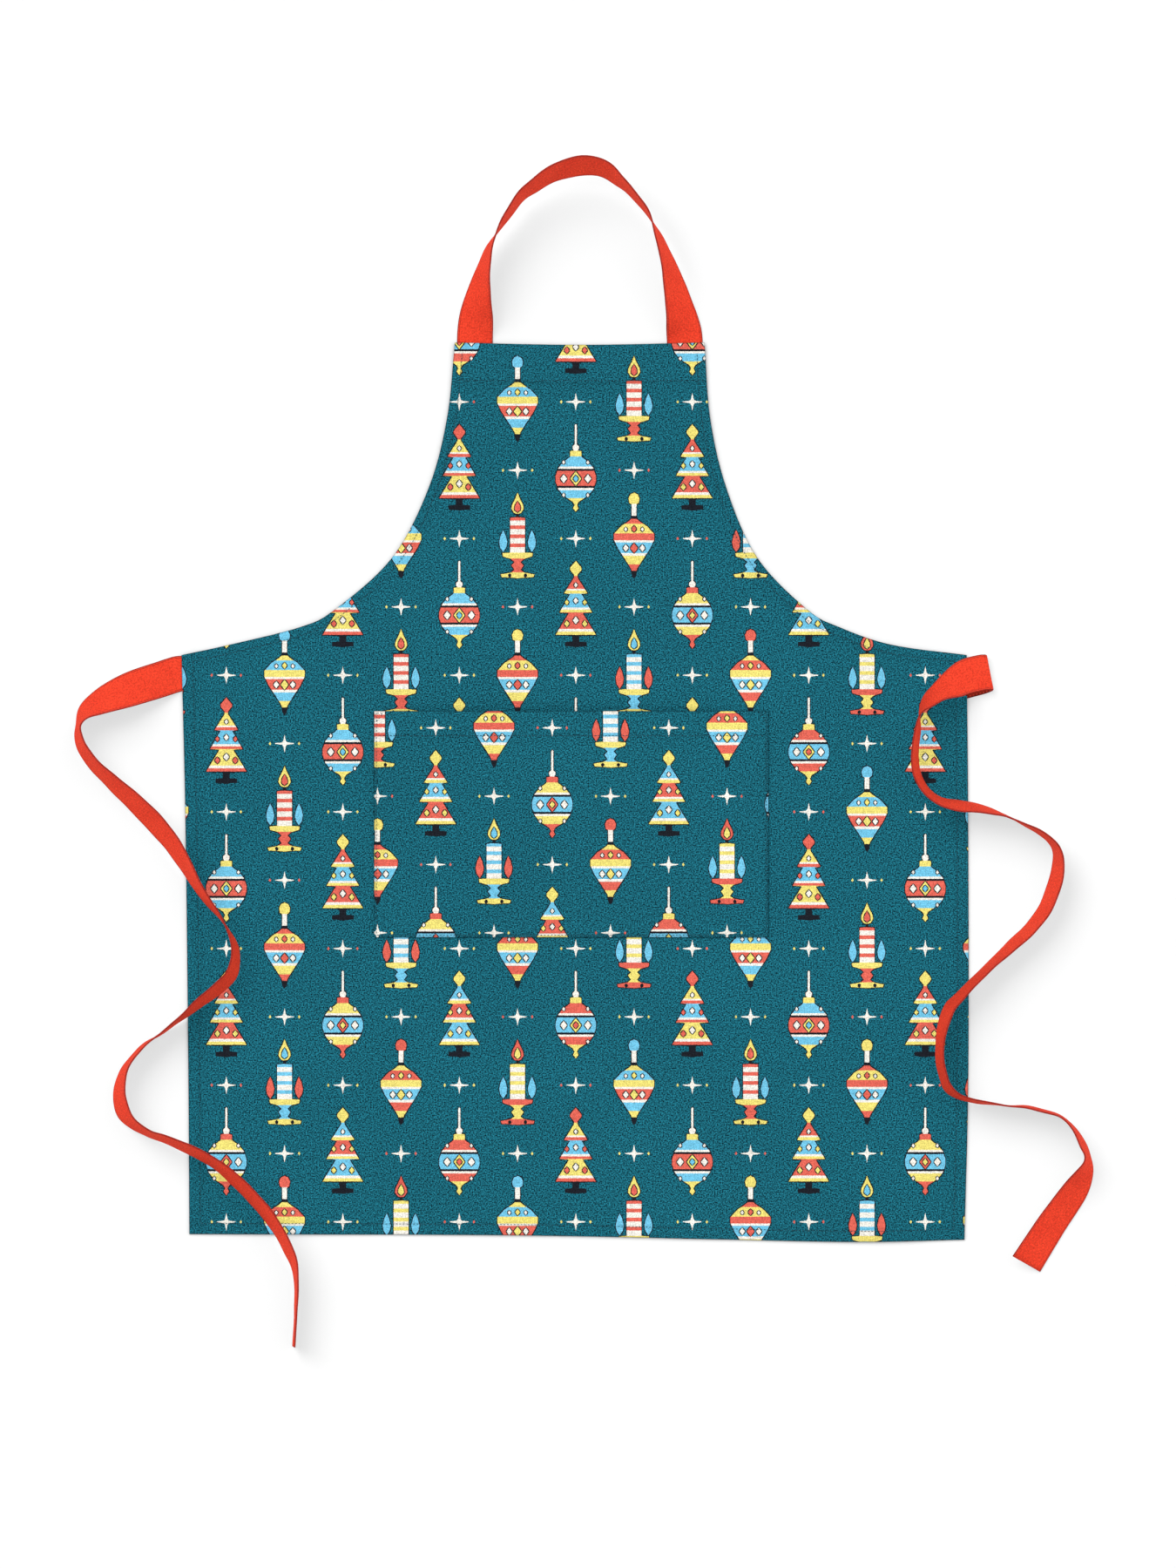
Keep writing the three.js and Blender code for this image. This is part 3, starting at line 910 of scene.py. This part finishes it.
def tape_stitches(route, free_end):
    """Seam along a tape's folded edge, on both faces, and one across its free end."""
    margin, points = FREE_END_SEAM["margin"], FREE_END_SEAM["points"]
    dice = random.Random(len(route))
    bm = bmesh.new()
    foot, across, through, travelled = tape_sections(route)
    ripple = tape_ripple(travelled, travelled[-1], across[:, 2], TAPE_STITCH)[:, None]
    for side in (-1, 1):
        push = ripple + side * TAPE_STITCH_HEIGHT
        path = foot + across * TAPE_STITCH + through * push
        sew(bm, path, side * through, dice)
        if free_end:
            start = foot[-1] + across[-1] * margin
            end = foot[-1] + across[-1] * (TAPE_WIDTH - margin)
            back = unit(foot[-4] - foot[-1]) * margin + through[-1] * side * TAPE_STITCH_HEIGHT
            line = np.linspace(start + back, end + back, points)
            sew(bm, line, np.tile(side * through[-1], (points, 1)), dice)
    return bm


# Shader nodes
def join(tree, value, socket):
    """A socket joined to another one, or set to a plain value."""
    if isinstance(value, bpy.types.NodeSocket):
        tree.links.new(value, socket)
    else:
        socket.default_value = value


def new_node(tree, kind, values, **settings):
    """Outputs of a new node, with its settings and what goes into its sockets."""
    node = tree.nodes.new(f"ShaderNode{kind}")
    for name, setting in settings.items():
        setattr(node, name, setting)
    for socket, value in values.items():
        join(tree, value, node.inputs[socket])
    return node.outputs


def math_node(tree, operation, *values):
    return new_node(tree, "Math", dict(enumerate(values)), operation=operation)[0]


def apart(tree, a, b):
    """Distance between two values."""
    return math_node(tree, "ABSOLUTE", math_node(tree, "SUBTRACT", a, b))


def mix_value(tree, factor, a, b):
    return new_node(tree, "Mix", {0: factor, 2: a, 3: b})[0]


def mix_colour(tree, factor, a, b, blend="MIX"):
    values = {0: factor, 6: a, 7: b}
    return new_node(tree, "Mix", values, data_type="RGBA", blend_type=blend)[2]


def vector_node(tree, operation, a, b):
    second = "Scale" if operation == "SCALE" else 1
    return new_node(tree, "VectorMath", {0: a, second: b}, operation=operation)[0]


def split_node(tree, vector):
    """The first two parts of a vector."""
    return new_node(tree, "SeparateXYZ", {0: vector})[:2]


def attribute_node(tree, name):
    return new_node(tree, "Attribute", {}, attribute_name=name)["Fac"]


def noise_node(tree, vector, scale, detail=2.0, roughness=0.5):
    values = {"Vector": vector, "Scale": scale, "Detail": detail, "Roughness": roughness}
    return new_node(tree, "TexNoise", values)


def range_node(tree, value, low, high, to_low, to_high):
    return new_node(tree, "MapRange", dict(enumerate((value, low, high, to_low, to_high))))[0]


def ramp_node(tree, value, stops, interpolation):
    node = tree.nodes.new("ShaderNodeValToRGB")
    node.color_ramp.interpolation = interpolation
    elements = node.color_ramp.elements
    elements.remove(elements[1])
    elements[0].position, elements[0].color = stops[0]
    for position, colour in stops[1:]:
        elements.new(position).color = colour
    join(tree, value, node.inputs[0])
    return node.outputs[0]


def grey(value):
    return (value, value, value, 1)


def toned(tree, colour, tone, *others):
    """A colour made lighter or darker by tones that change over the surface."""
    for other in others:
        tone = math_node(tree, "MULTIPLY", tone, other)
    grey_tone = new_node(tree, "CombineColor", {0: tone, 1: tone, 2: tone})[0]
    return mix_colour(tree, 1.0, colour, grey_tone, "MULTIPLY")


def new_group(name, inputs, outputs):
    """Empty shader node group with named sockets, and its input and output nodes."""
    tree = bpy.data.node_groups.new(name, "ShaderNodeTree")
    for side, sockets in (("INPUT", inputs), ("OUTPUT", outputs)):
        for socket, kind in sockets.items():
            tree.interface.new_socket(socket, in_out=side, socket_type=f"NodeSocket{kind}")
    return tree, tree.nodes.new("NodeGroupInput").outputs, tree.nodes.new("NodeGroupOutput").inputs


def use_group(tree, group, **values):
    return new_node(tree, "Group", values, node_tree=group)


# Patterns of the cloth. Each range maps its first two values to its last two. A weave's repeat is
# its number of threads, and its slubs are stretched along the threads.
PLAIN_WEAVE = 2.0
TWILL = 4.0
SLUB = {"stretch": 0.2, "scale": 0.8}
CANVAS = {"pitch": 0.00085, "grain": 850.0, "cloud": 9.0, "slub_height": 0.6}
CANVAS_RANGES = {
    "ground": (0.33, 0.67, 0.0, 1.0),
    "ink": (0.3, 0.7, 0.78, 1.22),
    "thread": (0.25, 0.75, 0.65, 1.35),
    "cloud": (0.3, 0.7, 0.95, 1.05),
    # Painted shade where the threads dip between each other
    "valley_shade": (0.0, 0.6, 0.8, 1.03),
    "roughness": (0.2, 0.8, 0.95, 0.82),
}
TAPE = {"pitch": 0.0006, "grain": 620.0, "cloud": 55.0, "seam": 0.0142}
# Painted light on the tape: a highlight by each rim, and shade along stitch grooves, edges and a
# fold
TAPE_RANGES = {
    "deep": (0.35, 0.75, 0.0, 0.4),
    "lip_highlight": (0.0145, 0.0148, 0.0, 0.8),
    "seam": (0.0003, 0.0007, 0.45, 0.0),
    "edge": (0.0149, 0.0152, 0.0, 0.8),
    "thread": (0.25, 0.75, 0.86, 1.14),
    "grain": (0.3, 0.7, 0.72, 1.28),
    # Painted shade of the right tie's fold
    "fold": (0.0, 1.0, 1.0, 0.35),
    "roughness": (0.2, 0.8, 0.9, 0.76),
}
THREAD_GRAIN = 2600.0
THREAD_RANGES = {"twist": (0.35, 0.65, 0.0, 1.0), "roughness": (0.3, 0.7, 0.6, 0.8)}
SHEEN_ROUGHNESS = 0.5
COTTON = {
    "canvas": {"sheen": 0.02, "specular": 0.05, "bump": (0.0002, 0.55)},
    "tape": {"sheen": 0.01, "specular": 0.03, "bump": (0.00015, 0.5)},
    "thread": {"sheen": 0.1, "specular": 0.12, "bump": (0.0001, 0.4)},
}


def woven_threads():
    """Threads over and under each other, with their height and tone."""
    tree, given, result = new_group(
        "woven_threads",
        {"Vector": "Vector", "Pitch": "Float", "Repeat": "Float"},
        {"Height": "Float", "Tone": "Float"},
    )
    density = math_node(tree, "DIVIDE", 1.0, given["Pitch"])
    threads = vector_node(tree, "SCALE", given["Vector"], density)
    counts = []
    rounds = []
    for part in split_node(tree, threads):
        counts.append(math_node(tree, "FLOOR", part))
        share = math_node(tree, "FRACT", part)
        rounds.append(math_node(tree, "SINE", math_node(tree, "MULTIPLY", share, math.pi)))
    place = math_node(tree, "FLOORED_MODULO", math_node(tree, "ADD", *counts), given["Repeat"])
    over = math_node(tree, "LESS_THAN", place, math_node(tree, "MULTIPLY", given["Repeat"], 0.5))
    join(tree, mix_value(tree, over, *rounds), result["Height"])
    tones = []
    for stretch in ((1, SLUB["stretch"], 1), (SLUB["stretch"], 1, 1)):
        slubs = vector_node(tree, "MULTIPLY", threads, stretch)
        tones.append(noise_node(tree, slubs, SLUB["scale"])["Fac"])
    join(tree, mix_value(tree, over, *tones), result["Tone"])
    return tree


def ornament_index(tree, ornament, beside, height, line):
    """Ink number at a place of an ornament, as a share of the inks, with dark lines round it."""
    drawn = 0.0
    reach = PRINT_COLUMN / 2
    for part in ornament:
        aside = beside
        if part["offset"]:
            aside = apart(tree, beside, part["offset"])
        stops = [(at / PRINT_ROW, grey(half / reach)) for at, half in part["outline"]]

        def half_width(rise):
            level = math_node(tree, "ADD", height, rise / PRINT_ROW)
            return math_node(tree, "MULTIPLY", ramp_node(tree, level, stops, "LINEAR"), reach)

        half = half_width(0)
        if line:
            wide = math_node(tree, "MAXIMUM", half, half_width(line))
            wide = math_node(tree, "MAXIMUM", wide, half_width(-line))
            border = math_node(tree, "MULTIPLY", math_node(tree, "MINIMUM", wide, 1.0), line)
            bordered = math_node(tree, "LESS_THAN", aside, math_node(tree, "ADD", wide, border))
            drawn = mix_value(tree, bordered, drawn, ink_number("dark"))
        inside = math_node(tree, "LESS_THAN", aside, half)
        inks = [(at / PRINT_ROW, ink_number(ink)) for at, ink in part["bands"]]
        ink = inks[0][1]
        if len(inks) > 1:
            ink = ramp_node(tree, height, [(at, grey(ink)) for at, ink in inks], "CONSTANT")
        drawn = mix_value(tree, inside, drawn, ink)
    return drawn


def ink_number(ink):
    return (INKS.index(ink) + 1) / (len(INKS) + 1)


def ornament_print():
    """The print's colour, and where there is any."""
    tree, given, result = new_group(
        "ornament_print", {"Vector": "Vector"}, {"Color": "Color", "Mask": "Float"})
    bleed = noise_node(tree, given["Vector"], BLEED["scale"], 1.0)["Color"]
    shaky = vector_node(tree, "SUBTRACT", bleed, (0.5, 0.5, 0.5))
    shaky = vector_node(tree, "SCALE", shaky, BLEED["reach"])
    place = vector_node(tree, "SCALE", vector_node(tree, "ADD", given["Vector"], shaky), 1 / MM)
    across, along = split_node(tree, place)
    columns = math_node(tree, "DIVIDE", across, PRINT_COLUMN)
    column = math_node(tree, "ROUND", columns)
    beside = math_node(tree, "MULTIPLY", apart(tree, columns, column), PRINT_COLUMN)
    odd = math_node(tree, "FLOORED_MODULO", column, 2.0)
    rows = math_node(tree, "DIVIDE", along, PRINT_ROW)
    rows = math_node(tree, "MULTIPLY_ADD", odd, 0.5, rows)
    row = math_node(tree, "FLOOR", rows)
    height = math_node(tree, "SUBTRACT", rows, row)
    pair = math_node(tree, "FLOOR", math_node(tree, "MULTIPLY", column, 0.5))
    turn = math_node(tree, "FLOORED_MODULO", math_node(tree, "ADD", row, pair), 2.0)
    kind = math_node(tree, "MULTIPLY_ADD", odd, 2.0, turn)
    drawn = ornament_index(tree, SPARK, beside, height, 0)
    for number, ornament in enumerate(ORNAMENTS):
        chosen = math_node(tree, "COMPARE", kind, float(number), 0.5)
        index = ornament_index(tree, ornament, beside, height, PRINT_LINE)
        drawn = math_node(tree, "MULTIPLY_ADD", chosen, index, drawn)
    ways = float(len(COLOURWAYS))
    way = math_node(tree, "FLOORED_MODULO", math_node(tree, "ADD", row, column), ways)
    colour = None
    for number, colourway in enumerate(COLOURWAYS):
        stops = [(0.0, DYES["ground_pale"])]
        stops += [((k + 0.5) / (len(INKS) + 1), DYES[colourway[ink]]) for k, ink in enumerate(INKS)]
        inks = ramp_node(tree, drawn, stops, "CONSTANT")
        if colour is None:
            colour = inks
        else:
            chosen = math_node(tree, "COMPARE", way, float(number), 0.5)
            colour = mix_colour(tree, chosen, colour, inks)
    join(tree, colour, result["Color"])
    join(tree, math_node(tree, "GREATER_THAN", drawn, 0.5 / (len(INKS) + 1)), result["Mask"])
    return tree


def new_material(name):
    """A material with its node tree and its shader."""
    material = bpy.data.materials.new(name)
    material.use_nodes = True
    return material, material.node_tree, material.node_tree.nodes["Principled BSDF"]


def finish_cloth(tree, shader, cotton, colour, roughness, height):
    """Joins a cloth's patterns to its shader, with the sheen and relief of its cotton."""
    shader.inputs["Specular IOR Level"].default_value = cotton["specular"]
    shader.inputs["Sheen Weight"].default_value = cotton["sheen"]
    shader.inputs["Sheen Roughness"].default_value = SHEEN_ROUGHNESS
    distance, strength = cotton["bump"]
    relief = {"Distance": distance, "Strength": strength, "Height": height}
    join(tree, new_node(tree, "Bump", relief)[0], shader.inputs["Normal"])
    join(tree, colour, shader.inputs["Base Color"])
    join(tree, roughness, shader.inputs["Roughness"])


def canvas_place(tree, shift):
    """Place on the cloth as it lies, moved by a shift of the cut."""
    place = new_node(tree, "TexCoord", {})["Object"]
    moved = new_node(tree, "Mapping", {"Vector": place, "Location": shift})[0]
    return vector_node(tree, "MULTIPLY", moved, (1, 1, 0))


def canvas(name, groups, shift, dye="ground"):
    """Printed cotton canvas. Its reverse is paler, with the print only faintly through."""
    material, tree, shader = new_material(name)

    def ranged(value, kind):
        return range_node(tree, value, *CANVAS_RANGES[kind])

    place = canvas_place(tree, shift)
    weave = use_group(tree, groups["weave"], Vector=place, Pitch=CANVAS["pitch"], Repeat=PLAIN_WEAVE)
    motif = use_group(tree, groups["print"], Vector=place)
    grain = noise_node(tree, place, CANVAS["grain"], 1.0)["Fac"]
    ground = mix_colour(tree, ranged(grain, "ground"), DYES[f"{dye}_deep"], DYES[f"{dye}_pale"])
    ink = toned(tree, motif["Color"], ranged(grain, "ink"))
    cover = math_node(tree, "MULTIPLY", motif["Mask"], PRINT_COVER[dye])
    colour = mix_colour(tree, cover, ground, ink)
    cloudy = noise_node(tree, place, CANVAS["cloud"], 3.0)["Fac"]
    # Painted shade along the seams and turned edges, and between the threads where they dip
    colour = toned(
        tree,
        colour,
        math_node(tree, "SUBTRACT", 1.0, attribute_node(tree, "seam")),
        ranged(weave["Tone"], "thread"),
        ranged(cloudy, "cloud"),
        ranged(weave["Height"], "valley_shade"),
    )
    roughness = ranged(weave["Tone"], "roughness")
    height = math_node(tree, "MULTIPLY_ADD", weave["Tone"], CANVAS["slub_height"], weave["Height"])
    finish_cloth(tree, shader, COTTON["canvas"], colour, roughness, height)
    return material


def tape_cloth(groups):
    """Orange-red cotton twill of the strap and ties, with painted highlight and shade lines at each
    edge.
    """
    material, tree, shader = new_material("tape_twill")

    def ranged(value, kind):
        return range_node(tree, value, *TAPE_RANGES[kind])

    place = new_node(tree, "UVMap", {}, uv_map="cloth")[0]
    weave = use_group(tree, groups["weave"], Vector=place, Pitch=TAPE["pitch"], Repeat=TWILL)
    cloudy = noise_node(tree, place, TAPE["cloud"], 3.0, 0.6)["Fac"]
    grain = noise_node(tree, place, TAPE["grain"], 2.0, 0.6)["Fac"]
    along, across = split_node(tree, place)
    from_middle = apart(tree, across, TAPE_WIDTH / 2 * MM)
    from_seam = apart(tree, from_middle, TAPE["seam"])
    colour = DYES["tape"]
    # Painted highlight just inside each rim, and painted shade along each stitch groove and edge
    for share, dye in (
        (ranged(cloudy, "deep"), "tape_deep"),
        (ranged(from_middle, "lip_highlight"), "tape_painted_highlight"),
        (ranged(from_seam, "seam"), "tape_painted_shade"),
        (ranged(from_middle, "edge"), "tape_painted_shade"),
    ):
        colour = mix_colour(tree, share, colour, DYES[dye])
    # Threads and grain vary the tone, and the fold's painted shade darkens the stretch under it
    colour = toned(
        tree,
        colour,
        ranged(weave["Tone"], "thread"),
        ranged(grain, "grain"),
        ranged(attribute_node(tree, "fold_shade"), "fold"),
    )
    roughness = ranged(weave["Tone"], "roughness")
    finish_cloth(tree, shader, COTTON["tape"], colour, roughness, weave["Height"])
    return material


def thread(hue):
    """Sewing thread: a fine twist of light and dark."""
    material, tree, shader = new_material(f"{hue}_thread")
    place = new_node(tree, "TexCoord", {})["Object"]
    strands = noise_node(tree, place, THREAD_GRAIN, 1.0)["Fac"]
    twist = range_node(tree, strands, *THREAD_RANGES["twist"])
    colour = mix_colour(tree, twist, DYES[f"{hue}_thread"], DYES[f"{hue}_twist"])
    roughness = range_node(tree, strands, *THREAD_RANGES["roughness"])
    finish_cloth(tree, shader, COTTON["thread"], colour, roughness, strands)
    return material


# Camera, light and floor. Each light has a direction towards it, a strength and an angle in degrees,
# and is as soft as that angle is wide.
FRAME_HEIGHT = 1.4
FRAME_CENTRE = (0.0109, -0.1151)
CAMERA_HEIGHT = 15.0
SENSOR_WIDTH = 36
WORLD_STRENGTH = 0.1
LIGHTS = table("name towards strength angle", [
    ("ceiling", (0.0, -0.4, 1.0), 0.7, 130),
    ("window_left", (-0.6, 0.7, 1.0), 1.5, 45),
    ("window_right", (0.6, 0.7, 1.0), 0.55, 50),
    ("wall_left", (-1.0, -0.1, 0.47), 1.65, 110),
    ("wall_right", (1.0, 0.0, 0.47), 2.05, 110),
])
FLOOR = {"reach": 5, "cells": 8, "grey": 0.765, "roughness": 0.9}


def add_camera():
    data = bpy.data.cameras.new("camera")
    data.sensor_width = SENSOR_WIDTH
    data.lens = data.sensor_width * CAMERA_HEIGHT / FRAME_HEIGHT
    camera = make_object("camera", data)
    camera.location = (*FRAME_CENTRE, CAMERA_HEIGHT)
    bpy.context.scene.camera = camera


def add_lights():
    scene = bpy.context.scene
    scene.view_settings.view_transform = "Standard"
    world = bpy.data.worlds.new("studio")
    world.use_nodes = True
    background = world.node_tree.nodes["Background"]
    background.inputs["Color"].default_value = grey(1)
    background.inputs["Strength"].default_value = WORLD_STRENGTH
    scene.world = world
    for row in LIGHTS:
        data = bpy.data.lights.new(row["name"], "SUN")
        data.energy = row["strength"]
        data.angle = math.radians(row["angle"])
        light = make_object(row["name"], data)
        light.rotation_euler = Vector(row["towards"]).to_track_quat("Z", "Y").to_euler()


def add_floor():
    material, tree, shader = new_material("pale_floor")
    shader.inputs["Base Color"].default_value = grey(FLOOR["grey"])
    shader.inputs["Roughness"].default_value = FLOOR["roughness"]
    shader.inputs["Specular IOR Level"].default_value = 0
    bm = bmesh.new()
    cells = FLOOR["cells"]
    bmesh.ops.create_grid(bm, x_segments=cells, y_segments=cells, size=FLOOR["reach"])
    floor = make_mesh_object("floor", bm, [material])


def main():
    add_camera()
    add_lights()
    add_floor()
    groups = {"weave": woven_threads(), "print": ornament_print()}
    panel_cloth = canvas("panel_canvas", groups, (0, 0, 0))
    pocket_cloth = canvas("pocket_canvas", groups, POCKET_SHIFT)
    reverse_cloth = canvas("canvas_reverse", groups, (0, 0, 0), "reverse")
    red_tape = tape_cloth(groups)
    teal_thread = thread("teal")
    red_thread = thread("red")

    bm = panel_mesh()
    flat_area = sum(face.calc_area() for face in bm.faces) * MM * MM
    give_thickness(bm, panel_surfaces)
    panel = make_piece("apron_panel", bm, [panel_cloth, reverse_cloth])
    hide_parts("panel")
    seams = make_piece("panel_stitching", panel_stitches(), [teal_thread])

    bm = pocket_mesh()
    give_thickness(bm, pocket_surfaces)
    pocket = make_piece("patch_pocket", bm, [pocket_cloth, reverse_cloth])
    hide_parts("pocket")
    seams = make_piece("pocket_stitching", pocket_stitches(), [teal_thread])

    for name, route, free_end, under_fold in (
        ("neck_strap", NECK_STRAP, False, 0),
        ("waist_tie_left", WAIST_TIE_LEFT, True, 0),
        ("waist_tie_right", WAIST_TIE_RIGHT, True, UNDER_FOLD),
    ):
        bm, length = tape_mesh(route, under_fold)
        tape = make_piece(f"{name}_tape", bm, [red_tape])
        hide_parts(name)
        seams = make_piece(f"{name}_stitching", tape_stitches(route, free_end), [red_thread])
        # Light thrown back by the tape would redden the pale floor
        for piece in (tape, seams):
            piece.visible_diffuse = False


main()
